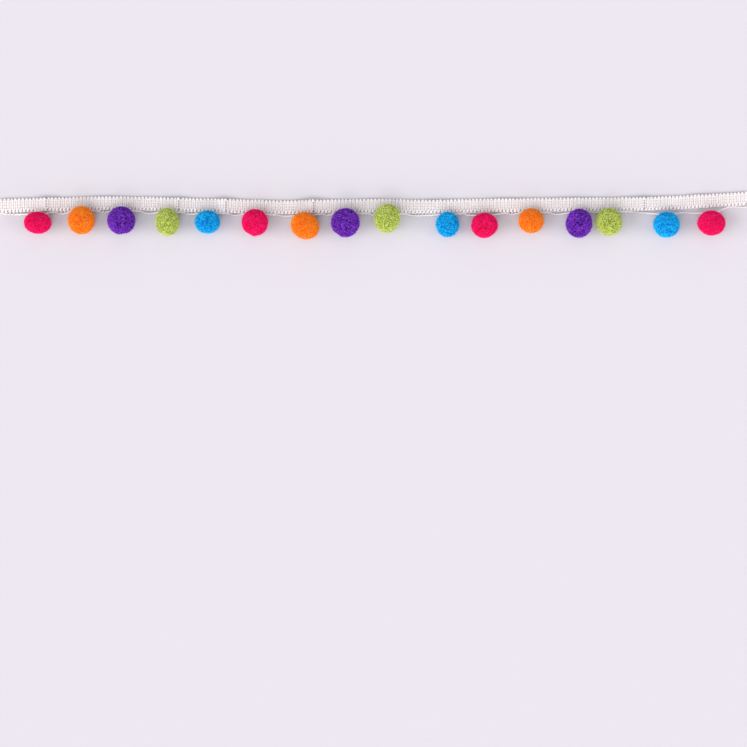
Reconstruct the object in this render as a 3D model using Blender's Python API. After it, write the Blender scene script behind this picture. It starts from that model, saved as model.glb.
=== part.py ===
"""A cut length of pompom trim, lying flat: a knitted tape, its pompoms and the thread that ties them on.

The tables and the shapes are in millimetres, and each finished object is scaled to metres. The length
runs along X, the tape's free edge faces +Y, the pompoms lie along its other edge, and the whole rests
on the plane z = 0. The origin is under the middle of the trim.
"""

from collections import namedtuple
import math
import random

import bmesh
import bpy
from mathutils import Vector
from mathutils.bvhtree import BVHTree

MM = 0.001
GAP = 0.3
CENTRE_ACROSS = 0.5

TAPE_THICKNESS = 1.0
TAPE_STATIONS = 140
TAPE_GAP = 0.45
CONTACT_LIFT = 0.12

CORE_SHARE = 0.93
CORE_HEIGHT_SHARE = 0.97
CORE_RELIEF = 0.14
CORE_SUBDIVISIONS = 3
FLAT_SPOT_DEPTH = 0.25
FLAT_SPOT_SPREAD = 0.93
TRIM_FLATS = 16
SHALLOWEST_FLAT = 0.3

LOCKS_PER_POMPOM = 18
LOCK_DIRECTIONS = 25
LOCK_LENGTH = 0.55
LOCK_UNEVENNESS = 0.25
LOCK_LEAN = 0.2
LOCK_TIP_SHARE = 0.4
SHORTEST_LOCK = 0.15

THREAD_DIAMETER = 0.5
THREAD_END_GAP = 0.45
THREAD_SIDES_SETTING = 1
THREAD_STEP = 0.65
THREAD_PIECE_STEPS = 30
THREAD_FROM_TAPE = 0.6
THREAD_LOWEST = 0.3
KNOT_ALONG_SHARE = 0.3
KNOT_ACROSS_SHARE = 0.85
KNOT_HEIGHT = 2.6
TAPE_EDGE_HEIGHT = 0.7
SAG_HEIGHT = 0.45

Section = namedtuple("Section", "along top width lift")
TAPE_SECTIONS = (
    Section(-138.5, 5.55, 4.5, 0.00),
    Section(-126.0, 5.90, 4.5, 0.00),
    Section(-119.5, 6.05, 4.5, 0.75),
    Section(-112.0, 6.25, 4.5, 0.00),
    Section(-98.0, 6.50, 4.4, 0.40),
    Section(-84.0, 6.40, 4.5, 0.00),
    Section(-71.5, 6.00, 4.5, 0.60),
    Section(-63.0, 5.75, 4.4, 0.00),
    Section(-54.4, 5.60, 4.5, 0.80),
    Section(-46.0, 5.30, 4.5, 0.00),
    Section(-33.0, 5.05, 4.5, 0.00),
    Section(-22.0, 5.30, 4.5, 0.90),
    Section(-13.0, 5.45, 4.4, 0.00),
    Section(2.0, 5.60, 4.5, 0.35),
    Section(14.0, 5.35, 4.5, 0.00),
    Section(23.5, 5.25, 4.5, 0.55),
    Section(34.0, 5.55, 4.5, 0.00),
    Section(50.0, 5.80, 4.5, 0.45),
    Section(61.0, 5.95, 4.5, 0.00),
    Section(74.0, 6.05, 4.5, 0.50),
    Section(86.0, 6.15, 4.5, 0.00),
    Section(99.5, 6.25, 4.4, 0.60),
    Section(110.0, 6.70, 4.5, 0.00),
    Section(121.5, 7.30, 4.5, 0.40),
    Section(130.0, 7.80, 4.4, 0.00),
    Section(138.5, 8.30, 4.4, 0.00),
)

Rim = namedtuple("Rim", "across height")
TAPE_PROFILE = (
    Rim(0.05, 0.00),
    Rim(0.95, 0.00),
    Rim(1.00, 0.45),
    Rim(0.97, 0.90),
    Rim(0.87, 1.00),
    Rim(0.50, 0.80),
    Rim(0.13, 1.00),
    Rim(0.03, 0.90),
    Rim(0.00, 0.45),
)

Pompom = namedtuple("Pompom", "colour along across wide deep turn trimmed")
POMPOMS = (
    Pompom("pink", -123.0, -3.1, 10.3, 8.1, -4, 0.05),
    Pompom("orange", -106.9, -2.2, 10.0, 10.5, 0, 0.03),
    Pompom("purple", -92.3, -2.3, 10.5, 10.6, 20, 0.08),
    Pompom("green", -75.5, -2.8, 8.8, 10.4, 6, 0.04),
    Pompom("blue", -60.8, -2.8, 9.4, 8.6, 0, 0.04),
    Pompom("pink", -43.4, -3.0, 9.9, 10.3, 10, 0.08),
    Pompom("orange", -25.1, -4.2, 11.0, 9.8, -35, 0.03),
    Pompom("purple", -10.3, -3.1, 10.8, 10.9, 0, 0.06),
    Pompom("green", 5.0, -1.5, 9.7, 10.8, -12, 0.04),
    Pompom("blue", 27.1, -3.7, 8.6, 9.4, 0, 0.05),
    Pompom("pink", 40.5, -4.1, 10.3, 9.3, 8, 0.09),
    Pompom("orange", 57.7, -2.4, 9.4, 9.1, 0, 0.03),
    Pompom("purple", 75.2, -3.3, 10.0, 10.9, 0, 0.10),
    Pompom("green", 86.2, -2.8, 9.8, 10.3, 15, 0.04),
    Pompom("blue", 107.3, -3.8, 9.9, 9.6, 0, 0.05),
    Pompom("pink", 123.7, -3.2, 10.5, 9.3, -6, 0.06),
)

Swag = namedtuple("Swag", "meets off sags sag")
THREAD_SWAGS = (
    Swag(0.15, 0.0, 0.60, 0.5),
    Swag(0.15, 0.0, 0.60, 0.7),
    Swag(0.30, 0.0, 0.65, 0.6),
    Swag(0.20, 0.0, 0.65, 0.8),
    Swag(0.25, 0.0, 0.60, 0.6),
    Swag(0.35, 0.0, 0.70, 0.5),
    Swag(0.40, 0.0, 0.75, 0.4),
    Swag(0.35, 0.0, 0.70, 0.5),
    Swag(0.60, 0.0, 0.85, 0.4),
    Swag(0.20, 0.0, 0.50, 0.5),
    Swag(0.45, 0.0, 0.70, 0.5),
    Swag(0.45, 0.0, 0.70, 0.5),
    Swag(0.30, 0.0, 0.65, 0.7),
    Swag(0.40, 0.0, 0.60, 0.2),
    Swag(0.35, 0.0, 0.65, 0.4),
    Swag(0.35, 0.9, 0.70, 1.3),
    Swag(0.20, 0.0, 0.80, 0.4),
)

COLOURS = {
    "white": (0.86, 0.85, 0.83),
    "pink": (0.80, 0.012, 0.10),
    "orange": (0.94, 0.17, 0.012),
    "purple": (0.105, 0.022, 0.33),
    "green": (0.38, 0.46, 0.09),
    "blue": (0.015, 0.29, 0.72),
}
YARN_ROUGHNESS = 0.9


# ---------------------------------------------------------------- objects and materials


def clear_scene():
    for item in list(bpy.data.objects):
        bpy.data.objects.remove(item, do_unlink=True)


def yarn_material(name, colour):
    material = bpy.data.materials.new(name)
    material.use_nodes = True
    shader = material.node_tree.nodes["Principled BSDF"]
    shader.inputs["Base Color"].default_value = (*colour, 1.0)
    shader.inputs["Roughness"].default_value = YARN_ROUGHNESS
    shader.inputs["Metallic"].default_value = 0.0
    return material


def place_object(name, data, material):
    """Add one finished piece, whose data is in millimetres, to the scene in metres."""
    data.materials.append(material)
    piece = bpy.data.objects.new(name, data)
    piece.location.y = CENTRE_ACROSS * MM
    piece.scale = (MM, MM, MM)
    bpy.context.collection.objects.link(piece)
    return piece


def place_mesh(name, shape, material):
    bmesh.ops.recalc_face_normals(shape, faces=shape.faces)
    mesh = bpy.data.meshes.new(name)
    shape.to_mesh(mesh)
    shape.free()
    return place_object(name, mesh, material)


# ---------------------------------------------------------------- the tape


def between_sections(along):
    """The tape's sections on either side of a place, and an eased share of the way between them."""
    for before, after in zip(TAPE_SECTIONS, TAPE_SECTIONS[1:]):
        if along <= after.along:
            break
    share = (along - before.along) / (after.along - before.along)
    share = min(max(share, 0.0), 1.0)
    return before, after, (1 - math.cos(math.pi * share)) / 2


def tape_top(along):
    before, after, share = between_sections(along)
    return before.top + (after.top - before.top) * share


def tape_lift(along):
    """The height of the tape's underside: level stretches at rest, with low waves between them."""
    before, after, share = between_sections(along)
    return max(0.0, before.lift + (after.lift - before.lift) * share - CONTACT_LIFT)


def tape_low(along):
    """The tape's edge on the pompoms' side, drawn in where the round of a pompom bears on it."""
    before, after, share = between_sections(along)
    edge = tape_top(along) - (before.width + (after.width - before.width) * share)
    surface = tape_lift(along) + TAPE_THICKNESS
    for pompom in POMPOMS:
        reach = core_reach(pompom)
        centre = core_centre(pompom)
        radius = max(reach.x, reach.y) + TAPE_GAP
        height = (centre.z - surface) / (reach.z + TAPE_GAP)
        aside = (along - centre.x) / radius
        depth = 1 - height * height - aside * aside
        if depth > 0:
            edge = max(edge, centre.y + radius * math.sqrt(depth))
    return edge


def tape_outline(along):
    """One cross-section of the tape: flat beneath, with a rolled rim along either edge."""
    low = tape_low(along)
    width = tape_top(along) - low
    lift = tape_lift(along)
    return [
        Vector((along, low + width * rim.across, lift + TAPE_THICKNESS * rim.height))
        for rim in TAPE_PROFILE
    ]


def tape_shape():
    start = TAPE_SECTIONS[0].along
    step = (TAPE_SECTIONS[-1].along - start) / TAPE_STATIONS
    shape = bmesh.new()
    first_outline = [shape.verts.new(point) for point in tape_outline(start)]
    end_face = shape.faces.new(first_outline)
    for station in range(1, TAPE_STATIONS + 1):
        end_face = bmesh.ops.extrude_discrete_faces(shape, faces=[end_face])["faces"][0]
        for corner, point in zip(end_face.verts, tape_outline(start + step * station)):
            corner.co = point
    shape.faces.new(first_outline)
    return shape


# ---------------------------------------------------------------- the pompoms


def core_reach(pompom):
    """Half the size of a pompom's core: along and across the trim, and upwards."""
    wide = pompom.wide / 2 * CORE_SHARE
    deep = pompom.deep / 2 * CORE_SHARE
    return Vector((wide, deep, math.sqrt(wide * deep) * CORE_HEIGHT_SHARE))


def core_centre(pompom):
    return Vector((pompom.along, pompom.across, core_reach(pompom).z - FLAT_SPOT_DEPTH))


def turned(point, degrees):
    """A point turned about the vertical."""
    cosine = math.cos(math.radians(degrees))
    sine = math.sin(math.radians(degrees))
    return Vector((cosine * point.x - sine * point.y, sine * point.x + cosine * point.y, point.z))


def trimmed_flats(number, pompom):
    """The flats that scissors leave round a pompom, as pairs of a direction and a share of its reach."""
    chance = random.Random(number)
    flats = []
    for _ in range(TRIM_FLATS):
        height = chance.uniform(-1, 1)
        facing = Vector((math.sqrt(1 - height * height), 0, height))
        facing = turned(facing, chance.uniform(0, 360))
        flats.append((facing, 1 - pompom.trimmed * chance.uniform(SHALLOWEST_FLAT, 1)))
    return flats


def trimmed_share(direction, flats):
    """How far the trimmed ball reaches in a direction, as a share of the round one."""
    share = 1.0
    for facing, depth in flats:
        lean = direction.dot(facing)
        if lean > depth:
            share = min(share, depth / lean)
    return share


def core_shape(number, pompom):
    """A dense ball with its trimmed flats, a low relief, and a small flat spot where it rests."""
    reach = core_reach(pompom)
    centre = core_centre(pompom)
    flats = trimmed_flats(number, pompom)
    chance = random.Random(number)
    shape = bmesh.new()
    bmesh.ops.create_icosphere(shape, subdivisions=CORE_SUBDIVISIONS, radius=1.0)
    for corner in shape.verts:
        direction = corner.co.normalized()
        surface = direction * trimmed_share(direction, flats)
        surface = Vector((surface.x * reach.x, surface.y * reach.y, surface.z * reach.z))
        surface -= direction * CORE_RELIEF * chance.random()
        corner.co = centre + turned(surface, pompom.turn)
        corner.co.z = max(corner.co.z, 0.0)
        if -direction.z > FLAT_SPOT_SPREAD:
            corner.co.z = 0.0
    return shape


def spiral_directions(turn):
    """Directions spread evenly over a ball, on a spiral from its top to its foot."""
    golden = math.degrees(math.pi * (3 - math.sqrt(5)))
    for step in range(LOCK_DIRECTIONS):
        height = 1 - (2 * step + 1) / LOCK_DIRECTIONS
        yield turned(Vector((math.sqrt(1 - height * height), 0, height)), turn + golden * step)


def lock_length(root, growth, pompom):
    """How long a lock may grow from its root: less over the floor, none against a neighbour."""
    length = LOCK_LENGTH
    if growth.z < 0:
        length = min(length, root.z / -growth.z)
    tip = root + growth * length
    for other in POMPOMS:
        room = (tip - core_centre(other)).length - max(core_reach(other))
        if other is not pompom and room < LOCK_LENGTH + GAP:
            return 0.0
    over_tape = tip.y > tape_low(tip.x) - GAP - LOCK_LENGTH
    if over_tape and root.z < tape_lift(tip.x) + TAPE_THICKNESS + GAP + LOCK_LENGTH:
        return 0.0
    return length


def lock_roots(shape, number, pompom):
    """The faces that locks grow from, none beside another, with each lock's direction and length."""
    centre = core_centre(pompom)
    chance = random.Random(number)
    taken = set()
    roots = []
    for direction in spiral_directions(360 * number / len(POMPOMS)):
        free = [face for face in shape.faces if taken.isdisjoint(face.verts)]
        outward = {face: (face.calc_center_median() - centre).normalized() for face in free}
        face = max(free, key=lambda each: outward[each].dot(direction))
        lean = Vector((chance.uniform(-1, 1), chance.uniform(-1, 1), chance.uniform(-1, 1)))
        growth = (outward[face] + lean * LOCK_LEAN).normalized()
        length = lock_length(face.calc_center_median(), growth, pompom)
        length *= 1 - LOCK_UNEVENNESS * chance.random()
        if length > SHORTEST_LOCK and len(roots) < LOCKS_PER_POMPOM:
            taken.update(face.verts)
            roots.append((face, growth, length))
    return roots


def grow_lock(shape, face, growth, length):
    """Draw a face out into a three-sided lock, narrower at its tip and never below the floor."""
    tip = bmesh.ops.extrude_discrete_faces(shape, faces=[face])["faces"][0]
    middle = tip.calc_center_median()
    for corner in tip.verts:
        corner.co = middle + (corner.co - middle) * LOCK_TIP_SHARE + growth * length
        corner.co.z = max(corner.co.z, 0.0)


def pompom_shape(number, pompom):
    shape = core_shape(number, pompom)
    for face, growth, length in lock_roots(shape, number, pompom):
        grow_lock(shape, face, growth, length)
    return shape


# ---------------------------------------------------------------- the thread


def knot_point(pompom, side):
    """Where the thread passes into a pompom, on the side of the tape; side is -1 left or 1 right."""
    reach = core_reach(pompom)
    along = pompom.along + side * reach.x * KNOT_ALONG_SHARE
    return Vector((along, pompom.across + reach.y * KNOT_ACROSS_SHARE, KNOT_HEIGHT))


def beside_tape(along, sag, height):
    return Vector((along, tape_low(along) - THREAD_FROM_TAPE - sag, height))


def swag_points(number):
    """The places that one swag passes: out of a pompom, up to the tape, sagging, into the next."""
    swag = THREAD_SWAGS[number]
    if number == 0:
        start = TAPE_SECTIONS[0].along + GAP
        leaves = beside_tape(start, 0.0, TAPE_EDGE_HEIGHT)
    else:
        left = POMPOMS[number - 1]
        start = left.along + core_reach(left).x
        leaves = knot_point(left, 1)
    if number == len(POMPOMS):
        end = TAPE_SECTIONS[-1].along - GAP
        enters = beside_tape(end, 0.0, TAPE_EDGE_HEIGHT)
    else:
        right = POMPOMS[number]
        end = right.along - core_reach(right).x
        enters = knot_point(right, -1)
    meets = beside_tape(start + (end - start) * swag.meets, swag.off, TAPE_EDGE_HEIGHT)
    sags = beside_tape(start + (end - start) * swag.sags, swag.sag, SAG_HEIGHT)
    return [leaves, meets, sags, enters]


def beside_tape_and_floor(point):
    """A point of the thread, moved where needed to keep off the tape's edge and the floor."""
    across = min(point.y, tape_low(point.x) - THREAD_FROM_TAPE)
    return Vector((point.x, across, max(point.z, THREAD_LOWEST)))


def smooth_path(points):
    """A curve through the points, its direction at each one set by the two beside it."""
    ends = [2 * points[0] - points[1], *points, 2 * points[-1] - points[-2]]
    path = []
    for before, start, end, after in zip(ends, ends[1:], ends[2:], ends[3:]):
        leaving = (end - before) / 2
        arriving = (after - start) / 2
        for step in range(THREAD_PIECE_STEPS):
            t = step / THREAD_PIECE_STEPS
            path.append(
                start * (2 * t**3 - 3 * t**2 + 1)
                + leaving * (t**3 - 2 * t**2 + t)
                + end * (3 * t**2 - 2 * t**3)
                + arriving * (t**3 - t**2)
            )
    return [beside_tape_and_floor(point) for point in [*path, points[-1]]]


def clear_path(path, pompom_trees):
    """The stretch about a path's middle that keeps the gap to every pompom, its points spaced out."""
    blocked = [
        step
        for step, point in enumerate(path)
        if any(tree.find_nearest(point)[3] < THREAD_END_GAP for tree in pompom_trees)
    ]
    middle = len(path) // 2
    first = max((step for step in blocked if step < middle), default=-1) + 1
    last = min((step for step in blocked if step > middle), default=len(path)) - 1
    spaced = [path[first]]
    for point in path[first:last]:
        if (point - spaced[-1]).length > THREAD_STEP:
            spaced.append(point)
    if (path[last] - spaced[-1]).length < THREAD_STEP / 2:
        spaced.pop()
    return [*spaced, path[last]]


def thread_curve(number, pompom_trees):
    points = clear_path(smooth_path(swag_points(number)), pompom_trees)
    curve = bpy.data.curves.new(f"thread_{number + 1:02d}", "CURVE")
    curve.dimensions = "3D"
    curve.bevel_depth = THREAD_DIAMETER / 2
    curve.bevel_resolution = THREAD_SIDES_SETTING
    curve.use_fill_caps = True
    spline = curve.splines.new("POLY")
    spline.points.add(len(points) - 1)
    for place, point in zip(spline.points, points):
        place.co = (*point, 1.0)
    return curve


# ---------------------------------------------------------------- the trim


def main():
    clear_scene()
    materials = {name: yarn_material(name, colour) for name, colour in COLOURS.items()}
    place_mesh("tape", tape_shape(), materials["white"])
    pompom_trees = []
    for number, pompom in enumerate(POMPOMS, start=1):
        shape = pompom_shape(number, pompom)
        pompom_trees.append(BVHTree.FromBMesh(shape))
        place_mesh(f"pompom_{number:02d}", shape, materials[pompom.colour])
    for number in range(len(THREAD_SWAGS)):
        curve = thread_curve(number, pompom_trees)
        place_object(curve.name, curve, materials["white"])


main()
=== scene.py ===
"""The looks of a cut length of pompom trim: a knitted tape, its pompoms and the thread that ties them on.

The tables and the shapes are in millimetres, and each finished mesh is scaled to metres. The length
runs along X, the tape's free edge faces +Y, the pompoms lie along its other edge, and the whole rests
on the plane z = 0. The settings, as Blender shows them, are in metres.
"""

from collections import namedtuple
import math
import random

import bmesh
import bpy
from bpy.props import FloatProperty, FloatVectorProperty, IntProperty, PointerProperty
from bpy.types import Operator, Panel, PropertyGroup
from mathutils import Matrix, Vector, noise


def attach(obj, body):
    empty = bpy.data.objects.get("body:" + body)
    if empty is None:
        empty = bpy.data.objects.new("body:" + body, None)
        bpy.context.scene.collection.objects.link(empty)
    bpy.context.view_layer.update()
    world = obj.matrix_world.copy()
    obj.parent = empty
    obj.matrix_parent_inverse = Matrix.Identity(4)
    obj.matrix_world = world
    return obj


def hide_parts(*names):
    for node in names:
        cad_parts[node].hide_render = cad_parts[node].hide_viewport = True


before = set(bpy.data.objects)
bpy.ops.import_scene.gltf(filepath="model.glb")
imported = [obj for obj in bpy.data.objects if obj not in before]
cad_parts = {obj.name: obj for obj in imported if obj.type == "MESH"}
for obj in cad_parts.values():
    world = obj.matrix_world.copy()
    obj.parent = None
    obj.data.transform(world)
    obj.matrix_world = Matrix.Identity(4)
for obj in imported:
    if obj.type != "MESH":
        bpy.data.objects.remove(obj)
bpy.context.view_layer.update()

bl_info = {
    "name": "Pompom Trim",
    "version": (1, 0, 0),
    "blender": (4, 5, 0),
    "location": "3D View > Sidebar > Trim",
    "description": "Dresses a length of pompom trim in its yarns, cut pile and thread",
    "category": "Add Mesh",
}

BODY = "root"
MM = 0.001
# What a curve's bevel resolution is for a yarn with four or six sides.
FOUR_SIDED = 0
SIX_SIDED = 1
WELD_SHARE = 0.002
CENTRE_ACROSS = 0.5

# ---------------------------------------------------------------- the trim's own places, in millimetres

TAPE_THICKNESS = 1.0
TAPE_GAP = 0.45
CONTACT_LIFT = 0.12

Section = namedtuple("Section", "along top width lift")
TAPE_SECTIONS = (
    Section(-138.5, 5.55, 4.5, 0.00),
    Section(-126.0, 5.90, 4.5, 0.00),
    Section(-119.5, 6.05, 4.5, 0.75),
    Section(-112.0, 6.25, 4.5, 0.00),
    Section(-98.0, 6.50, 4.4, 0.40),
    Section(-84.0, 6.40, 4.5, 0.00),
    Section(-71.5, 6.00, 4.5, 0.60),
    Section(-63.0, 5.75, 4.4, 0.00),
    Section(-54.4, 5.60, 4.5, 0.80),
    Section(-46.0, 5.30, 4.5, 0.00),
    Section(-33.0, 5.05, 4.5, 0.00),
    Section(-22.0, 5.30, 4.5, 0.90),
    Section(-13.0, 5.45, 4.4, 0.00),
    Section(2.0, 5.60, 4.5, 0.35),
    Section(14.0, 5.35, 4.5, 0.00),
    Section(23.5, 5.25, 4.5, 0.55),
    Section(34.0, 5.55, 4.5, 0.00),
    Section(50.0, 5.80, 4.5, 0.45),
    Section(61.0, 5.95, 4.5, 0.00),
    Section(74.0, 6.05, 4.5, 0.50),
    Section(86.0, 6.15, 4.5, 0.00),
    Section(99.5, 6.25, 4.4, 0.60),
    Section(110.0, 6.70, 4.5, 0.00),
    Section(121.5, 7.30, 4.5, 0.40),
    Section(130.0, 7.80, 4.4, 0.00),
    Section(138.5, 8.30, 4.4, 0.00),
)

Crease = namedtuple("Crease", "along rise before after")
TAPE_CREASES = (
    Crease(-119.9, 0.50, 2.6, 0.45),
    Crease(-71.6, 0.42, 2.2, 0.45),
    Crease(-54.4, 0.60, 3.0, 0.45),
    Crease(-22.1, 0.60, 2.6, 0.45),
    Crease(99.5, 0.38, 2.0, 0.60),
)

CREASE_PARTING = 0.46
CREASE_SPREAD = 1.4
# The painted shade that the ground takes at a crease, and the half width of that shade.
CREASE_OPEN_SHADE = 1.0
CREASE_HALF_WIDTH = 0.45

CORE_SHARE = 0.93
CORE_HEIGHT_SHARE = 0.97
FLAT_SPOT_DEPTH = 0.25
TRIM_FLATS = 16
SHALLOWEST_FLAT = 0.3

Pompom = namedtuple("Pompom", "colour along across wide deep turn trimmed")
POMPOMS = (
    Pompom("pink", -123.0, -3.1, 10.3, 8.1, -4, 0.05),
    Pompom("orange", -106.9, -2.2, 10.0, 10.5, 0, 0.03),
    Pompom("purple", -92.3, -2.3, 10.5, 10.6, 20, 0.08),
    Pompom("green", -75.5, -2.8, 8.8, 10.4, 6, 0.04),
    Pompom("blue", -60.8, -2.8, 9.4, 8.6, 0, 0.04),
    Pompom("pink", -43.4, -3.0, 9.9, 10.3, 10, 0.08),
    Pompom("orange", -25.1, -4.2, 11.0, 9.8, -35, 0.03),
    Pompom("purple", -10.3, -3.1, 10.8, 10.9, 0, 0.06),
    Pompom("green", 5.0, -1.5, 9.7, 10.8, -12, 0.04),
    Pompom("blue", 27.1, -3.7, 8.6, 9.4, 0, 0.05),
    Pompom("pink", 40.5, -4.1, 10.3, 9.3, 8, 0.09),
    Pompom("orange", 57.7, -2.4, 9.4, 9.1, 0, 0.03),
    Pompom("purple", 75.2, -3.3, 10.0, 10.9, 0, 0.10),
    Pompom("green", 86.2, -2.8, 9.8, 10.3, 15, 0.04),
    Pompom("blue", 107.3, -3.8, 9.9, 9.6, 0, 0.05),
    Pompom("pink", 123.7, -3.2, 10.5, 9.3, -6, 0.06),
)

Swag = namedtuple("Swag", "meets off sags sag")
THREAD_SWAGS = (
    Swag(0.15, 0.0, 0.60, 0.5),
    Swag(0.15, 0.0, 0.60, 0.7),
    Swag(0.30, 0.0, 0.65, 0.6),
    Swag(0.20, 0.0, 0.65, 0.8),
    Swag(0.25, 0.0, 0.60, 0.6),
    Swag(0.35, 0.0, 0.70, 0.5),
    Swag(0.40, 0.0, 0.75, 0.4),
    Swag(0.35, 0.0, 0.70, 0.5),
    Swag(0.60, 0.0, 0.85, 0.4),
    Swag(0.20, 0.0, 0.50, 0.5),
    Swag(0.45, 0.0, 0.70, 0.5),
    Swag(0.45, 0.0, 0.70, 0.5),
    Swag(0.30, 0.0, 0.65, 0.7),
    Swag(0.40, 0.0, 0.60, 0.2),
    Swag(0.35, 0.0, 0.65, 0.4),
    Swag(0.35, 0.9, 0.70, 1.3),
    Swag(0.20, 0.0, 0.80, 0.4),
)

THREAD_PIECE_STEPS = 30
THREAD_FROM_TAPE = 0.6
THREAD_LOWEST = 0.3
THREAD_END_INSET = 0.3
KNOT_ALONG_SHARE = 0.3
KNOT_ACROSS_SHARE = 0.85
KNOT_HEIGHT = 2.6
TAPE_EDGE_HEIGHT = 0.7
SAG_HEIGHT = 0.45
PLY_SWELL = 1.08

Stretch = namedtuple("Stretch", "start end")
WHIPPED_STRETCHES = (
    Stretch(-136.0, -130.0),
    Stretch(-118.6, -112.4),
    Stretch(-101.8, -97.6),
    Stretch(-70.6, -65.6),
    Stretch(-55.9, -53.0),
    Stretch(-38.5, -36.0),
    Stretch(-20.4, -15.8),
    Stretch(-5.0, 0.3),
    Stretch(15.4, 22.3),
    Stretch(30.0, 35.2),
    Stretch(45.7, 52.7),
    Stretch(90.8, 99.2),
)
WHIP_PITCH = 1.3
WHIP_REACH = 0.28
WHIP_ON_TAPE = 0.12
WHIP_LOWEST = 0.22
WHIP_TOP = 0.98
WHIP_STEPS = 12
WHIP_LEAN = 0.22
WHIP_UNEVENNESS = 0.1
WHIP_SEEDS_A_MILLIMETRE = 10

# ---------------------------------------------------------------- the tape's yarns, in millimetres

GroundRow = namedtuple("GroundRow", "share height openness")
# Each row of the ground: its share across the tape, its height, and how much painted shade it takes where
# it is open, under the lower loops and between the picots.
GROUND_ROWS = (
    GroundRow(0.03, 0.24, 0.55),
    GroundRow(0.10, 0.26, 0.55),
    GroundRow(0.17, 0.50, 0.0),
    GroundRow(0.27, 0.50, 0.0),
    GroundRow(0.37, 0.50, 0.0),
    GroundRow(0.47, 0.50, 0.0),
    GroundRow(0.57, 0.50, 0.0),
    GroundRow(0.67, 0.50, 0.0),
    GroundRow(0.77, 0.50, 0.0),
    GroundRow(0.87, 0.50, 0.0),
    GroundRow(0.91, 0.46, 0.0),
    GroundRow(0.955, 0.34, 0.2),
    GroundRow(0.985, 0.22, 0.5),
)
GROUND_THICKNESS = 0.2
GROUND_RIB = 0.05

WALE_SHARES = (0.23, 0.45, 0.67, 0.87)
WEFT_AT_WALE = 0.60
WEFT_BETWEEN = 0.76
WEFT_PINCH = 0.80
WEFT_END_INSET = 0.9
WEFT_PAIRING = 0.05

Turn = namedtuple("Turn", "aside inward height")
PICOT_TURN = (
    Turn(-0.21, 0.50, 0.60),
    Turn(-0.20, 0.22, 0.66),
    Turn(-0.17, 0.05, 0.67),
    Turn(-0.10, -0.07, 0.67),
    Turn(0.00, -0.12, 0.66),
    Turn(0.10, -0.07, 0.67),
    Turn(0.17, 0.05, 0.67),
    Turn(0.20, 0.22, 0.66),
    Turn(0.21, 0.50, 0.60),
)
LOWER_TURN = (
    Turn(0.24, 0.62, 0.66),
    Turn(0.04, 0.28, 0.66),
    Turn(-0.20, -0.04, 0.62),
    Turn(-0.36, -0.12, 0.60),
    Turn(-0.42, 0.06, 0.60),
    Turn(-0.20, 0.40, 0.60),
)
TURN_SWELL = 1.08
TURN_UNEVENNESS = 0.06
WEFT_SEED = 7

EDGE_YARN_OUTWARD = 0.16
EDGE_YARN_OVER = 0.94
EDGE_YARN_UNDER = 0.34
EDGE_YARN_SWAY = 0.09
EDGE_YARN_STEPS = 8
EDGE_YARN_SEED = 11

BACK_WEFT_HEIGHT = 0.15
BACK_WEFT_SHARES = (0.12, 0.3, 0.5, 0.7, 0.9)

StitchStep = namedtuple("StitchStep", "ahead aside height")
STITCH_STEPS = (
    StitchStep(-0.42, 1.0, 0.60),
    StitchStep(-0.30, 0.95, 0.87),
    StitchStep(0.02, 0.55, 0.95),
    StitchStep(0.32, 0.15, 0.90),
)
STITCH_HALF_WIDTH = 0.19
STITCH_OVER_CREASE = 0.73
BRIDGED_GAP = 0.62
BRIDGE_SHARES = (0.45, 0.6, 0.75)

# ---------------------------------------------------------------- the pompoms' pile, in millimetres

CORE_SUBDIVISIONS = 3
CORE_CUTS = 5
CORE_JITTER = 0.014
CORE_COVER = 0.12
TUFT_SIZE = 0.62
TUFT_RIM = 0.45
TUFT_FURROW = 0.14
TUFT_TONE_SPREAD = 5.3
# The painted light share at a root: lower towards a tuft's rim, as painted shade in the furrows.
# TIP_RIM_SHADE is painted shade at the tips there.
ROOT_LIGHT_IN_TUFT = 0.55
TIP_RIM_SHADE = 0.5
LOCK_SPLAY = 0.2
LOCK_STRAY = 0.1
LOCK_SHORTEST = 0.7
STRAY_THICKNESS_SHARE = 0.24
STRAY_BEND = 0.55
STRAY_BEND_SWAY = 0.12
STRAY_SWAY = 0.4
LOWEST_FIBRE = 0.02
STRAY_SHARES = {"pink": 0.03, "orange": 0.05, "purple": 0.03, "green": 0.05, "blue": 0.04}
PILE_SEED = 100

# ---------------------------------------------------------------- the materials' fine detail

NOISE_MIDDLE = 0.5
NOISE_DETAIL = 2.0
BUMP_STRENGTH = 0.6
SHEEN_ROUGHNESS = 0.4

YARN_PLIES = 2
YARN_TWIST = 2.5  # the length of one turn, in thicknesses of the yarn
FIBRES_A_MILLIMETRE = 5.2
FIBRE_SHARE = 0.35
YARN_MIDDLE = 0.25
YARN_DEPTH = 0.8
PATCH_SIZE = 9.0
PATCH_DETAIL = 1.0
PATCH_CONTRAST = 1.6

# The pile's colour goes from its root colour, which is painted shade, to its tip colour by its painted
# light share.
PILE_MIDDLE = 0.3
PILE_DEPTH = 0.4
TUFT_CONTRAST = 0.25
FLECK_CONTRAST = 3.9
FLECK_SIZE = 0.43

# ---------------------------------------------------------------- the stage, in millimetres and degrees

Lamp = namedtuple("Lamp", "name direction spread strength")
LAMPS = (
    Lamp("front_light", (-0.17, -0.95, 1.3), 37.5, 1.276),
    Lamp("left_light", (-0.9, -0.24, 0.5), 50.6, 2.54),
    Lamp("right_light", (1.0, -0.25, 0.42), 39.5, 1.433),
)
LAMP_COLOUR = (1.0, 0.96, 0.92)
ROOM_LIGHT = 0.623
ROOM_COLOUR = (0.99, 0.99, 1.0, 1.0)
FLOOR_REACH = 8000.0
FLOOR_BELOW = 0.02
FLOOR_ROUGHNESS = 0.9
FLOOR_GLOSS = 0.1
SENSOR_WIDTH = 36.0
VIEWED_HEIGHT = 4.5

# ---------------------------------------------------------------- settings


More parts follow.
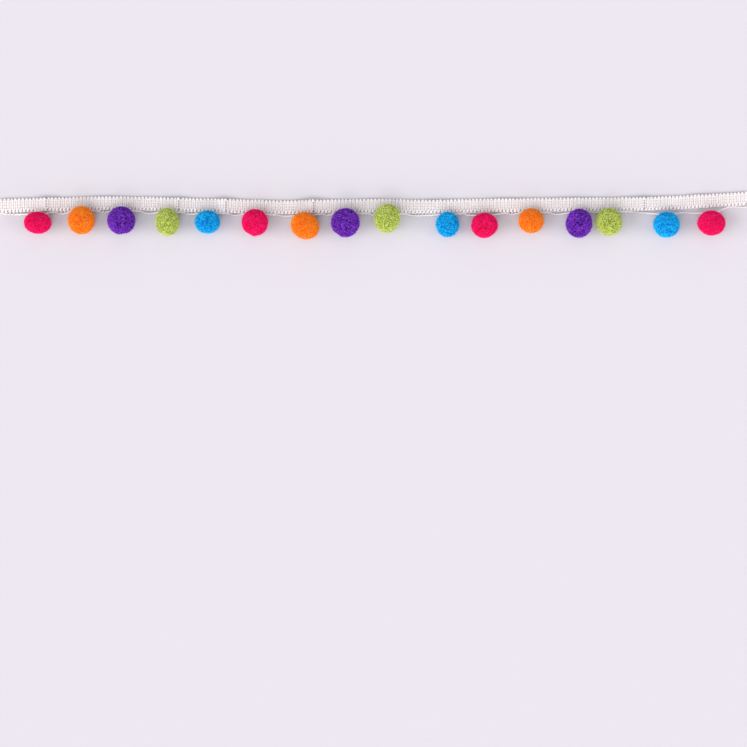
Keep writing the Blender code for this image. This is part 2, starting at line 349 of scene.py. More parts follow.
def colour_setting(name, description, default):
    return FloatVectorProperty(
        name=name, description=description, subtype="COLOR", size=3, min=0, max=1, default=default
    )


def length_setting(name, description, millimetres):
    return FloatProperty(name=name, description=description, unit="LENGTH", default=millimetres * MM)


class TapeSettings(PropertyGroup):
    """The knitted tape."""

    colour: colour_setting("Yarn colour", "Colour of the tape's yarns", (0.905, 0.868, 0.89))
    shade: colour_setting("Shade colour", "Colour down between the fibres", (0.76, 0.725, 0.738))
    # The ground colour is the yarn's own pale colour, darkened as painted shade because the ground lies
    # below the yarns.
    shaded_ground: colour_setting("Ground colour", "Colour of the ground between the yarns", (0.63, 0.58, 0.605))
    # The notch colour is painted shade where the ground is open.
    notch_shade: colour_setting("Notch colour", "Colour of the ground where it is open", (0.33, 0.30, 0.32))
    picot_pitch: length_setting("Picot pitch", "Distance from one edge loop to the next", 1.335)
    weft_thickness: length_setting("Weft thickness", "Thickness of the yarn across the tape", 0.48)
    edge_thickness: length_setting("Edge yarn thickness", "Thickness of the yarn along the loops", 0.4)
    back_thickness: length_setting("Back yarn thickness", "Thickness of the yarn beneath", 0.28)
    stitch_thickness: length_setting("Stitch thickness", "Thickness of the yarn along the wales", 0.24)


class PileSettings(PropertyGroup):
    """The pompoms' cut pile: its colours at the tips, the painted shade of its roots, and its length."""

    # Each root colour is painted shade: the pile's own colour darkened as if deep among the fibres, where
    # shade falls.
    pink: colour_setting("Pink", "Colour of the pink tips", (0.92, 0.028, 0.30))
    pink_root: colour_setting("Pink root", "Colour of the pink roots", (0.70, 0.001, 0.018))
    orange: colour_setting("Orange", "Colour of the orange tips", (0.93, 0.42, 0.055))
    orange_root: colour_setting("Orange root", "Colour of the orange roots", (0.84, 0.125, 0.001))
    purple: colour_setting("Purple", "Colour of the purple tips", (0.37, 0.08, 0.81))
    purple_root: colour_setting("Purple root", "Colour of the purple roots", (0.001, 0.001, 0.11))
    green: colour_setting("Green", "Colour of the green tips", (0.75, 0.85, 0.30))
    green_root: colour_setting("Green root", "Colour of the green roots", (0.265, 0.33, 0.018))
    blue: colour_setting("Blue", "Colour of the blue tips", (0.03, 0.68, 0.99))
    blue_root: colour_setting("Blue root", "Colour of the blue roots", (0.001, 0.172, 0.61))
    pile_length: length_setting("Pile length", "How far the cut pile stands out of the core", 0.27)
    stray_length: length_setting("Stray length", "How far the stray fibres stand out of the core", 0.75)


class ThreadSettings(PropertyGroup):
    """The thread that ties the pompoms on."""

    colour: colour_setting("Thread colour", "Colour of the thread", (0.93, 0.895, 0.905))
    thickness: length_setting("Thread thickness", "Thickness of both plies together", 0.5)
    stitch_thickness: length_setting("Stitch thickness", "Thickness of the stitches round it", 0.26)
    twist: length_setting("Twist", "Length of thread in one turn of its plies", 2.2)
    steps: IntProperty(
        name="Steps a turn",
        description="How many steps each ply takes in one turn",
        default=12,
        min=6,
        max=24,
    )


class StageSettings(PropertyGroup):
    """The floor, the lights and the camera."""

    floor_colour: colour_setting("Floor colour", "Colour of the plain floor", (0.566, 0.55, 0.615))
    view_width: length_setting("View width", "Width that the camera takes in", 273.4)
    camera_height: length_setting("Camera height", "Height of the camera above the floor", 1004.5)
    camera_across: length_setting("Camera place", "Place of the camera across the trim", -57.8)


# ---------------------------------------------------------------- nodes and materials


def add_node(tree, kind, inputs=None, **options):
    """Add a node with its options, each input given a value or joined to a node's output."""
    node = tree.nodes.new(kind)
    for option, value in options.items():
        setattr(node, option, value)
    for key, value in (inputs or {}).items():
        if isinstance(value, bpy.types.NodeSocket):
            tree.links.new(value, node.inputs[key])
        else:
            node.inputs[key].default_value = value
    return node


def new_group(name, colours, numbers):
    """A shader node group that is given the named colours and numbers: its tree and those sockets."""
    tree = bpy.data.node_groups.new(name, "ShaderNodeTree")
    for socket in colours:
        tree.interface.new_socket(socket, in_out="INPUT", socket_type="NodeSocketColor")
    for socket in numbers:
        tree.interface.new_socket(socket, in_out="INPUT", socket_type="NodeSocketFloat")
    return tree, tree.nodes.new("NodeGroupInput").outputs


def put_out(tree, colour, height):
    """Give a node group its outputs: a colour, and a height for a bump."""
    tree.interface.new_socket("Colour", in_out="OUTPUT", socket_type="NodeSocketColor")
    tree.interface.new_socket("Height", in_out="OUTPUT", socket_type="NodeSocketFloat")
    add_node(tree, "NodeGroupOutput", {"Colour": colour, "Height": height})


def mix_colours(tree, share, low, high):
    """A colour between two. The mix's sockets for colours are told by place, as their names repeat."""
    return add_node(tree, "ShaderNodeMix", {0: share, 6: low, 7: high}, data_type="RGBA").outputs[2]


def calculate(tree, operation, *values, clamp=False):
    """The outcome of a sum whose values are numbers or other nodes' outputs."""
    inputs = dict(enumerate(values))
    return add_node(tree, "ShaderNodeMath", inputs, operation=operation, use_clamp=clamp).outputs[0]


def noise_over_piece(tree, scale, detail):
    place = add_node(tree, "ShaderNodeTexCoord").outputs["Object"]
    inputs = {"Vector": place, "Scale": scale, "Detail": detail}
    return add_node(tree, "ShaderNodeTexNoise", inputs).outputs["Fac"]


def attribute_value(tree, name):
    return add_node(tree, "ShaderNodeAttribute", attribute_name=name).outputs["Fac"]


def cut_pile_group():
    """Cut pile: painted shade at the roots and at the tufts' rims, lighter at the tips, each tuft a tone
    of its own.
    """
    colours = ("Shaded Root Colour", "Tip Colour")
    tree, given = new_group("Cut Pile", colours, ("Tuft Contrast", "Fleck Contrast", "Fleck Scale"))
    # The painted light share is low at the roots and the tufts' rims, as painted shade, and full at the
    # tips.
    pile, tuft = attribute_value(tree, "painted_pile_light"), attribute_value(tree, "tuft_tone")
    flecks = noise_over_piece(tree, given["Fleck Scale"], NOISE_DETAIL)
    centred = calculate(tree, "SUBTRACT", flecks, NOISE_MIDDLE)
    tufted = calculate(tree, "MULTIPLY_ADD", tuft, given["Tuft Contrast"], PILE_MIDDLE)
    toned = calculate(tree, "MULTIPLY_ADD", centred, given["Fleck Contrast"], tufted)
    share = calculate(tree, "MULTIPLY_ADD", pile, PILE_DEPTH, toned, clamp=True)
    put_out(tree, mix_colours(tree, share, given["Shaded Root Colour"], given["Tip Colour"]), flecks)


def spun_yarn_group():
    """Spun yarn: plies that wind round it, with a fine fibre, shaded where one ply meets the next."""
    colours = ("Yarn Colour", "Shade Colour")
    tree, given = new_group("Spun Yarn", colours, ("Fibre Scale", "Patch Scale", "Patch Contrast"))
    course = add_node(tree, "ShaderNodeUVMap", uv_map="yarn_course").outputs["UV"]
    along, around = add_node(tree, "ShaderNodeSeparateXYZ", {0: course}).outputs[:2]
    angle = calculate(tree, "MULTIPLY", calculate(tree, "ADD", along, around), YARN_PLIES * math.tau)
    ply = calculate(tree, "MULTIPLY_ADD", calculate(tree, "SINE", angle), 0.5, 0.5)  # from 0 to 1
    fibres = noise_over_piece(tree, given["Fibre Scale"], NOISE_DETAIL)
    height = calculate(tree, "MULTIPLY_ADD", fibres, FIBRE_SHARE, ply)
    patches = noise_over_piece(tree, given["Patch Scale"], PATCH_DETAIL)
    patch = calculate(tree, "SUBTRACT", patches, NOISE_MIDDLE)
    lit = calculate(tree, "MULTIPLY_ADD", patch, given["Patch Contrast"], YARN_MIDDLE)
    share = calculate(tree, "MULTIPLY_ADD", height, YARN_DEPTH, lit, clamp=True)
    put_out(tree, mix_colours(tree, share, given["Shade Colour"], given["Yarn Colour"]), height)


def knit_ground_group():
    """The ground of a knit: a fine fibre, its colour darkened as painted shade below the yarns, and
    darker painted shade where it is open, at the edge loops and creases.
    """
    tree, given = new_group("Knit Ground", ("Shaded Ground Colour", "Notch Shade Colour"), ("Fibre Scale",))
    # Painted shade where the ground is open.
    openness = attribute_value(tree, "openness")
    fibres = noise_over_piece(tree, given["Fibre Scale"], NOISE_DETAIL)
    put_out(tree, mix_colours(tree, openness, given["Shaded Ground Colour"], given["Notch Shade Colour"]), fibres)


def cloth_material(name, group, values, roughness, gloss, sheen, sheen_tint, bump_distance):
    """A matt cloth whose colour and bump come from a node group, used with the given values."""
    if name in bpy.data.materials:
        raise RuntimeError(f"there is already a material named {name}")
    material = bpy.data.materials.new(name)
    material.use_nodes = True
    tree = material.node_tree
    shader = tree.nodes["Principled BSDF"]
    effect = add_node(tree, "ShaderNodeGroup", node_tree=bpy.data.node_groups[group])
    for socket, value in values.items():
        effect.inputs[socket].default_value = value
    bump = add_node(
        tree,
        "ShaderNodeBump",
        {"Height": effect.outputs["Height"], "Distance": bump_distance * MM, "Strength": BUMP_STRENGTH},
    )
    tree.links.new(effect.outputs["Colour"], shader.inputs["Base Color"])
    tree.links.new(bump.outputs["Normal"], shader.inputs["Normal"])
    shader.inputs["Roughness"].default_value = roughness
    shader.inputs["Specular IOR Level"].default_value = gloss
    shader.inputs["Sheen Weight"].default_value = sheen
    shader.inputs["Sheen Tint"].default_value = (*sheen_tint, 1.0)
    shader.inputs["Sheen Roughness"].default_value = SHEEN_ROUGHNESS
    return material


def pile_material(name, tip, root):
    return cloth_material(
        f"{name}_pile",
        "Cut Pile",
        {
            # The root colour is painted shade deep among the fibres.
            "Shaded Root Colour": (*root, 1.0),
            "Tip Colour": (*tip, 1.0),
            "Tuft Contrast": TUFT_CONTRAST,
            "Fleck Contrast": FLECK_CONTRAST,
            "Fleck Scale": 1 / (FLECK_SIZE * MM),
        },
        roughness=0.95,
        gloss=0.04,
        sheen=0.06,
        sheen_tint=tip,
        bump_distance=0.06,
    )


def yarn_material(name, colour, shade):
    return cloth_material(
        name,
        "Spun Yarn",
        {
            "Yarn Colour": (*colour, 1.0),
            "Shade Colour": (*shade, 1.0),
            "Fibre Scale": FIBRES_A_MILLIMETRE / MM,
            "Patch Scale": 1 / (PATCH_SIZE * MM),
            "Patch Contrast": PATCH_CONTRAST,
        },
        roughness=0.85,
        gloss=0.2,
        sheen=0.15,
        sheen_tint=colour,
        bump_distance=0.05,
    )


def ground_material(name, shaded_ground, notch_shade):
    return cloth_material(
        name,
        "Knit Ground",
        {
            # The ground colour is painted shade below the yarns, and the notch colour is painted shade
            # where the ground is open.
            "Shaded Ground Colour": (*shaded_ground, 1.0),
            "Notch Shade Colour": (*notch_shade, 1.0),
            "Fibre Scale": FIBRES_A_MILLIMETRE / MM,
        },
        roughness=0.9,
        gloss=0.1,
        sheen=0.1,
        sheen_tint=shaded_ground,
        bump_distance=0.03,
    )


# ---------------------------------------------------------------- finished pieces


def place_piece(name, mesh, material, nodes):
    """Add a finished mesh, in millimetres, as a piece that stands for solids of the trim."""
    mesh.transform(Matrix.Translation((0, CENTRE_ACROSS * MM, 0)) @ Matrix.Scale(MM, 4))
    mesh.materials.clear()
    mesh.materials.append(material)
    piece = bpy.data.objects.new(name, mesh)
    bpy.context.collection.objects.link(piece)
    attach(piece, BODY)
    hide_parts(*nodes)
    return piece


def mesh_from(name, shape):
    bmesh.ops.recalc_face_normals(shape, faces=shape.faces)
    mesh = bpy.data.meshes.new(name)
    shape.to_mesh(mesh)
    shape.free()
    return mesh


def put_in_order(shape):
    """Order the faces by their corners: solidify leaves those of a rim in any order."""
    shape.verts.index_update()
    corners = {face: sorted(corner.index for corner in face.verts) for face in shape.faces}
    places = {face: place for place, face in enumerate(sorted(corners, key=corners.get))}
    shape.faces.sort(key=places.get)


def add_yarn(shape, course, thickness, sides):
    """Add a round yarn, closed at both ends, along points that each have a share of its thickness."""
    curve = bpy.data.curves.new("yarn", "CURVE")
    curve.dimensions = "3D"
    curve.bevel_depth = thickness / 2
    curve.bevel_resolution = sides
    curve.use_fill_caps = True
    spline = curve.splines.new("POLY")
    spline.points.add(len(course) - 1)
    for place, (point, share) in zip(spline.points, course):
        place.co = (*point, 1.0)
        place.radius = share
    guide = bpy.data.objects.new("yarn", curve)
    bpy.context.collection.objects.link(guide)
    drawn = guide.evaluated_get(bpy.context.evaluated_depsgraph_get())
    others = len(shape.faces)
    shape.from_mesh(drawn.to_mesh())
    drawn.to_mesh_clear()
    bpy.data.objects.remove(guide)
    bpy.data.curves.remove(curve)
    length = sum((after[0] - before[0]).length for before, after in zip(course, course[1:]))
    turns = length / (YARN_TWIST * thickness)
    layer = shape.loops.layers.uv.active
    shape.faces.ensure_lookup_table()
    for face in shape.faces[others:]:
        face.smooth = True
        for loop in face.loops:
            loop[layer].uv.x *= turns


def yarn_mesh(name, courses, thickness, sides):
    """Round yarns whose UV map goes once round them and counts the turns of their twist along them."""
    shape = bmesh.new()
    for course in courses:
        add_yarn(shape, course, thickness, sides)
    bmesh.ops.remove_doubles(shape, verts=shape.verts, dist=thickness * WELD_SHARE)
    mesh = mesh_from(name, shape)
    mesh.uv_layers[0].name = "yarn_course"
    return mesh


# ---------------------------------------------------------------- the tape


def tape_measure(along, measure):
    """The tape's top edge, width or lift at a place, eased from one section to the next."""
    for before, after in zip(TAPE_SECTIONS, TAPE_SECTIONS[1:]):
        if along <= after.along:
            break
    share = (along - before.along) / (after.along - before.along)
    share = min(max(share, 0.0), 1.0)
    share = (1 - math.cos(math.pi * share)) / 2
    first, last = getattr(before, measure), getattr(after, measure)
    return first + (last - first) * share


def tape_lift(along):
    """The height of the tape's underside: level stretches at rest, with low waves between them."""
    return max(0.0, tape_measure(along, "lift") - CONTACT_LIFT)


def crease_lift(along):
    """How far the small creases raise the tape: slowly before each one, steeply after it."""
    lift = 0.0
    for crease in TAPE_CREASES:
        past = along - crease.along
        lift += crease.rise * math.exp(-((past / (crease.before if past < 0 else crease.after)) ** 2))
    return lift


def parted_at_creases(along):
    """A place along the tape, moved away from each crease, where the passes of the weft part."""
    parting = 0.0
    for crease in TAPE_CREASES:
        past = along - crease.along
        parting += math.copysign(math.exp(-abs(past) / CREASE_SPREAD), past)
    return along + parting * CREASE_PARTING / 2


def crease_open_shade(along):
    """How much painted shade the ground takes at a place where it is open, from its creases alone."""
    nearest = min(abs(along - crease.along) for crease in TAPE_CREASES)
    return CREASE_OPEN_SHADE * math.exp(-((nearest / CREASE_HALF_WIDTH) ** 2))


def tape_low(along):
    """The tape's edge on the pompoms' side, drawn in where the round of a pompom bears on it."""
    edge = tape_measure(along, "top") - tape_measure(along, "width")
    surface = tape_lift(along) + TAPE_THICKNESS
    for pompom in POMPOMS:
        reach = core_reach(pompom)
        centre = core_centre(pompom)
        radius = max(reach.x, reach.y) + TAPE_GAP
        height = (centre.z - surface) / (reach.z + TAPE_GAP)
        aside = (along - centre.x) / radius
        depth = 1 - height * height - aside * aside
        if depth > 0:
            edge = max(edge, centre.y + radius * math.sqrt(depth))
    return edge


def tape_ends():
    return TAPE_SECTIONS[0].along, TAPE_SECTIONS[-1].along


class Station:
    """The tape at one place along it: its edges and its height there."""

    def __init__(self, along):
        self.low = tape_low(along)
        self.top = tape_measure(along, "top")
        self.lift = tape_lift(along) + crease_lift(along)

    def point(self, along, share, height):
        return Vector((along, self.low + (self.top - self.low) * share, self.lift + height))

    def from_top(self, along, inward, height):
        return Vector((along, self.top - inward, self.lift + height))

    def from_low(self, along, inward, height):
        return Vector((along, self.low + inward, self.lift + height))


def weft_places(pitch):
    """Where the weft crosses the tape: twice in each picot pitch, from end to end."""
    start, end = tape_ends()
    room = end - start - 2 * WEFT_END_INSET
    passes = 2 * round(room / pitch)
    first = (start + end - (passes - 1) * pitch / 2) / 2
    return [parted_at_creases(first + number * pitch / 2) for number in range(passes)]


def ground_shape(pitch):
    """The tape's thin ground: a low rib under each pass of the weft, and lower at its edge loops."""
    places = weft_places(pitch)
    ribs = len(places) - 1
    shape = bmesh.new()
    # The grid starts one unit across, so that a corner's place gives its step along and its row.
    bmesh.ops.create_grid(shape, x_segments=2 * ribs, y_segments=len(GROUND_ROWS) - 1, size=0.5)
    openness = shape.verts.layers.float.new("openness")
    stations = {}
    for corner in shape.verts:
        step = round((corner.co.x + 0.5) * 2 * ribs)
        row = GROUND_ROWS[round((corner.co.y + 0.5) * (len(GROUND_ROWS) - 1))]
        along = places[0] + step * pitch / 4
        if step not in stations:
            stations[step] = Station(along)
        height = row.height + (GROUND_RIB if step % 2 == 0 else -GROUND_RIB)
        corner.co = stations[step].point(along, row.share, height)
        # Painted shade where the ground is open, at its edge loops and at the creases.
        corner[openness] = max(row.openness, crease_open_shade(along))
    bmesh.ops.recalc_face_normals(shape, faces=shape.faces)
    bmesh.ops.solidify(shape, geom=shape.faces[:], thickness=GROUND_THICKNESS)
    put_in_order(shape)
    return shape


def weft_rows():
    """The weft's places across the tape from its low edge: down at each wale and up between two."""
    rows = []
    for wale, following in zip(WALE_SHARES, (*WALE_SHARES[1:], None)):
        rows.append((wale, WEFT_AT_WALE, WEFT_PINCH))
        if following:
            rows.append(((wale + following) / 2, WEFT_BETWEEN, 1.0))
    return rows


def turned_points(turns, along, chance, from_top):
    """One edge loop of the weft about a place along the tape, a little uneven."""
    station = Station(along)
    aside = chance.uniform(-1, 1) * TURN_UNEVENNESS
    inward = chance.uniform(-1, 1) * TURN_UNEVENNESS
    place = station.from_top if from_top else station.from_low
    points = (place(along + turn.aside + aside, turn.inward + inward, turn.height) for turn in turns)
    return [(point, TURN_SWELL) for point in points]


def weft_course(pitch):
    """The weft's whole way: up, round a picot, down, round a lower loop, and so on to the far end."""
    chance = random.Random(WEFT_SEED)
    rows = weft_rows()
    course = []
    for number, along in enumerate(weft_places(pitch)):
        upwards = number % 2 == 0
        slip = chance.uniform(-1, 1) * TURN_UNEVENNESS / 2 + (WEFT_PAIRING if upwards else -WEFT_PAIRING)
        station = Station(along)
        passing = [
            (station.point(along + slip, share, height), thickness) for share, height, thickness in rows
        ]
        course += passing if upwards else reversed(passing)
        turns = PICOT_TURN if upwards else LOWER_TURN
        turning = turned_points(turns, along + pitch / 4, chance, upwards)
        course += turning if upwards else reversed(turning)
    return course[: -len(LOWER_TURN)]


def back_course(pitch):
    """The yarn beneath the tape, to and fro between its edges."""
    course = []
    for number, along in enumerate(weft_places(pitch)):
        station = Station(along)
        passing = [(station.point(along, share, BACK_WEFT_HEIGHT), 1.0) for share in BACK_WEFT_SHARES]
        course += passing if number % 2 else reversed(passing)
    return course


def edge_courses(pitch, thickness):
    """The two plies of the yarn that runs over and under the lower loops and closes them."""
    chance = random.Random(EDGE_YARN_SEED)
    path = []
    for number, along in enumerate(weft_places(pitch)):
        station = Station(along)
        outward = EDGE_YARN_OUTWARD + chance.uniform(-1, 1) * EDGE_YARN_SWAY
        height = EDGE_YARN_UNDER if number % 2 else EDGE_YARN_OVER
        path.append(station.from_low(along, -outward, height))
    return wound_plies(path, thickness, pitch, EDGE_YARN_STEPS)


def stitch_courses(pitch):
    """Two legs of chain stitch along each wale, a stitch to each pass of the weft and over creases."""
    places = weft_places(pitch)
    path = []
    for along, following in zip(places, (*places[1:], places[-1])):
        station = Station(along)
        for step in STITCH_STEPS:
            path.append((station, along + step.ahead * pitch / 2, step.aside, step.height))
        if following - along > BRIDGED_GAP * pitch:
            for share in BRIDGE_SHARES:
                over = along + (following - along) * share
                path.append((Station(over), over, share, STITCH_OVER_CREASE))
    courses = []
    for wale in WALE_SHARES:
        for side in (-1, 1):
            course = []
            for station, along, aside, height in path:
                point = station.point(along, wale, height)
                point.y += side * aside * STITCH_HALF_WIDTH
                course.append((point, 1.0))
            courses.append(course)
    return courses


# ---------------------------------------------------------------- the pompoms


def core_reach(pompom):
    """Half the size of a pompom's core: along and across the trim, and upwards."""
    wide = pompom.wide / 2 * CORE_SHARE
    deep = pompom.deep / 2 * CORE_SHARE
    return Vector((wide, deep, math.sqrt(wide * deep) * CORE_HEIGHT_SHARE))


def core_centre(pompom):
    return Vector((pompom.along, pompom.across, core_reach(pompom).z - FLAT_SPOT_DEPTH))


def turned(point, degrees):
    """A point turned about the vertical."""
    cosine = math.cos(math.radians(degrees))
    sine = math.sin(math.radians(degrees))
    return Vector((cosine * point.x - sine * point.y, sine * point.x + cosine * point.y, point.z))


def trimmed_flats(number, pompom):
    """The flats that scissors leave round a pompom, as pairs of a direction and a share of its reach."""
    chance = random.Random(number)
    flats = []
    for _ in range(TRIM_FLATS):
        height = chance.uniform(-1, 1)
        facing = Vector((math.sqrt(1 - height * height), 0, height))
        facing = turned(facing, chance.uniform(0, 360))
        flats.append((facing, 1 - pompom.trimmed * chance.uniform(SHALLOWEST_FLAT, 1)))
    return flats


def trimmed_share(direction, flats):
    """How far the trimmed ball reaches in a direction, as a share of the round one."""
    share = 1.0
    for facing, depth in flats:
        lean = direction.dot(facing)
        if lean > depth:
            share = min(share, depth / lean)
    return share


def stray_vector(chance):
    return Vector((chance.uniform(-1, 1), chance.uniform(-1, 1), chance.uniform(-1, 1)))


def tuft_at(point):
    """The tuft that a point of the pile belongs to: its middle, its own tone, and how near its rim."""
    distances, middles = noise.voronoi(point / TUFT_SIZE)
    rim = 1 - min((distances[1] - distances[0]) / TUFT_RIM, 1.0)
    return middles[0] * TUFT_SIZE, noise.cell(middles[0] * TUFT_TONE_SPREAD), rim


def core_shape(number, pompom):
    """The core that the pile stands on: trimmed as the solid is, with a furrow between tufts and painted
    shade at its roots.
    """
    reach = core_reach(pompom) + Vector((CORE_COVER, CORE_COVER, CORE_COVER))
    centre = core_centre(pompom)
    flats = trimmed_flats(number, pompom)
    chance = random.Random(number)
    shape = bmesh.new()
    bmesh.ops.create_icosphere(shape, subdivisions=CORE_SUBDIVISIONS, radius=1.0)
    bmesh.ops.subdivide_edges(shape, edges=shape.edges[:], cuts=CORE_CUTS, use_grid_fill=True)
    pile = shape.verts.layers.float.new("painted_pile_light")
    tones = shape.verts.layers.float.new("tuft_tone")
    for corner in shape.verts:
        direction = (corner.co.normalized() + stray_vector(chance) * CORE_JITTER).normalized()
        surface = direction * trimmed_share(direction, flats)
        surface = Vector((surface.x * reach.x, surface.y * reach.y, surface.z * reach.z))
        surface = centre + turned(surface, pompom.turn)
        tone, rim = tuft_at(surface)[1:]
        corner.co = surface - (surface - centre).normalized() * TUFT_FURROW * rim
        corner.co.z = max(corner.co.z, LOWEST_FIBRE)
        # Painted shade: a root is darker than a tip, and darker still towards its tuft's rim.
        corner[pile] = ROOT_LIGHT_IN_TUFT * (1 - rim)
        corner[tones] = tone
    return shape


def fibre_tip(root, centre, height, sway, chance):
    """Where a fibre ends, splayed from its tuft and a little astray, with its tuft's tone and rim."""
    outward = (root - centre).normalized()
    middle, tone, rim = tuft_at(root)
    aside = (root - middle) * LOCK_SPLAY + stray_vector(chance) * sway
    aside -= outward * aside.dot(outward)
    tip = root + outward * height + aside
    tip.z = max(tip.z, LOWEST_FIBRE)
    return tip, tone, rim


def grow_strays(shape, centre, share, length, chance):
    """Draw thin bent fibres out of a scatter of the core's faces, ready for their pointed tips."""
    roots = [face for face in shape.faces if chance.random() < share]
    tips = {}
    for face in bmesh.ops.extrude_discrete_faces(shape, faces=roots)["faces"]:
        middle = face.calc_center_median()
        for corner in face.verts:
            corner.co = middle + (corner.co - middle) * STRAY_THICKNESS_SHARE
        tips[face] = fibre_tip(middle, centre, length, STRAY_SWAY, chance)[0]
    return tips


def bend_strays(shape, centre, tips, chance):
    """Carry each stray fibre part of its way, to a bend."""
    pile = shape.verts.layers.float["painted_pile_light"]
    feet = list(tips)
    bent = {}
    for foot, face in zip(feet, bmesh.ops.extrude_discrete_faces(shape, faces=feet)["faces"]):
        middle = face.calc_center_median()
        tip = tips[foot]
        sway = stray_vector(chance) * (tip - middle).length * STRAY_BEND_SWAY
        bend = middle.lerp(tip, STRAY_BEND) + sway
        for corner in face.verts:
            corner.co += bend - middle
            corner.co.z = max(corner.co.z, LOWEST_FIBRE)
            # The bend of a stray takes the full painted light of a tip.
            corner[pile] = 1.0
        bent[face] = tip
    return bent


def pile_shape(number, pompom, settings):
    """A pompom's dense cut pile: a pointed lock on every face of its core, and its stray fibres."""
    centre = core_centre(pompom)
    chance = random.Random(PILE_SEED + number)
    length = settings.pile_length / MM
    shape = core_shape(number, pompom)
    pile = shape.verts.layers.float["painted_pile_light"]
    tones = shape.verts.layers.float["tuft_tone"]
    surface = set(shape.faces)
    strays = grow_strays(shape, centre, STRAY_SHARES[pompom.colour], settings.stray_length / MM, chance)
    strays = bend_strays(shape, centre, strays, chance)
    rooted = [face for face in shape.faces if face in surface or face in strays]
    tips = [strays.get(face) for face in rooted]
    for point, stray_tip in zip(bmesh.ops.poke(shape, faces=rooted)["verts"], tips):
        height = length * chance.uniform(LOCK_SHORTEST, 1.0)
        tip, tone, rim = fibre_tip(point.co.copy(), centre, height, LOCK_STRAY, chance)
        point.co = stray_tip or tip
        # Painted shade: a tip is darker towards its tuft's rim.
        point[pile] = 1.0 - rim * TIP_RIM_SHADE
        point[tones] = tone
    return shape


# ---------------------------------------------------------------- the thread


def knot_point(pompom, side):
    """Where the thread passes into a pompom, on the side of the tape; side is -1 left or 1 right."""
    reach = core_reach(pompom)
    along = pompom.along + side * reach.x * KNOT_ALONG_SHARE
    return Vector((along, pompom.across + reach.y * KNOT_ACROSS_SHARE, KNOT_HEIGHT))


def beside_tape(along, sag, height):
    return Vector((along, tape_low(along) - THREAD_FROM_TAPE - sag, height))


def swag_points(number):
    """The places that one swag passes: out of a pompom, up to the tape, sagging, into the next."""
    swag = THREAD_SWAGS[number]
    if number == 0:
        start = TAPE_SECTIONS[0].along + THREAD_END_INSET
        leaves = beside_tape(start, 0.0, TAPE_EDGE_HEIGHT)
    else:
        left = POMPOMS[number - 1]
        start = left.along + core_reach(left).x
        leaves = knot_point(left, 1)
    if number == len(POMPOMS):
        end = TAPE_SECTIONS[-1].along - THREAD_END_INSET
        enters = beside_tape(end, 0.0, TAPE_EDGE_HEIGHT)
    else:
        right = POMPOMS[number]
        end = right.along - core_reach(right).x
        enters = knot_point(right, -1)
    meets = beside_tape(start + (end - start) * swag.meets, swag.off, TAPE_EDGE_HEIGHT)
    sags = beside_tape(start + (end - start) * swag.sags, swag.sag, SAG_HEIGHT)
    return [leaves, meets, sags, enters]


def beside_tape_and_floor(point):
    """A point of the thread, moved where needed to keep off the tape's edge and the floor."""
    across = min(point.y, tape_low(point.x) - THREAD_FROM_TAPE)
    return Vector((point.x, across, max(point.z, THREAD_LOWEST)))


def smooth_path(points):
    """A curve through the points, its direction at each one set by the two beside it."""
    ends = [2 * points[0] - points[1], *points, 2 * points[-1] - points[-2]]
    path = []
    for before, start, end, after in zip(ends, ends[1:], ends[2:], ends[3:]):
        leaving = (end - before) / 2
        arriving = (after - start) / 2
        for step in range(THREAD_PIECE_STEPS):
            t = step / THREAD_PIECE_STEPS
            path.append(
                start * (2 * t**3 - 3 * t**2 + 1)
                + leaving * (t**3 - 2 * t**2 + t)
                + end * (3 * t**2 - 2 * t**3)
                + arriving * (t**3 - t**2)
            )
    return [beside_tape_and_floor(point) for point in [*path, points[-1]]]


def even_steps(path, step):
    """Points at an even distance from one another along a path."""
    points = [path[0]]
    left = step
    for start, end in zip(path, path[1:]):
        reach = (end - start).length
        gone = 0.0
        while reach - gone >= left:
            gone += left
            left = step
            points.append(start.lerp(end, gone / reach))
        left -= reach - gone
    return points


def wound_plies(path, thickness, turn, steps):
    """Two plies wound round a path, as courses for round yarns."""
    points = even_steps(path, turn / steps)
    plies = ([], [])
    for number, point in enumerate(points):
        ahead = points[min(number + 1, len(points) - 1)] - points[max(number - 1, 0)]
        sideways = ahead.cross(Vector((0, 0, 1))).normalized()
        upwards = sideways.cross(ahead).normalized()
        for half, ply in enumerate(plies):
            angle = math.tau * (number / steps + half / 2)
            swing = sideways * math.cos(angle) + upwards * math.sin(angle)
            ply.append((point + swing * thickness / 4, 1.0))
    return plies


def across_at(path, along):
    """How far across a path lies at a place along the trim."""
    return min(path, key=lambda point: abs(point.x - along)).y


def whip_course(path, stretch):
    """Stitches that wind round the thread and the tape's lower edge, leaning along a stretch of them."""
    chance = random.Random(round(stretch.start * WHIP_SEEDS_A_MILLIMETRE))
    course = []
    for turn in range(round((stretch.end - stretch.start) / WHIP_PITCH)):
        slip = chance.uniform(-1, 1) * WHIP_UNEVENNESS
        for step in range(WHIP_STEPS):
            angle = math.tau * step / WHIP_STEPS
            along = stretch.start + (turn + step / WHIP_STEPS) * WHIP_PITCH
            low, high = across_at(path, along) - WHIP_REACH, tape_low(along) + WHIP_ON_TAPE
            across = (high + low) / 2 + (high - low) / 2 * math.cos(angle)
            middle = (WHIP_TOP + WHIP_LOWEST) / 2
            height = middle - (WHIP_TOP - middle) * math.sin(angle) + tape_lift(along)
            along -= WHIP_LEAN * math.sin(angle) + slip
            course.append((Vector((along, across, height)), 1.0))
    return course


# ---------------------------------------------------------------- operators


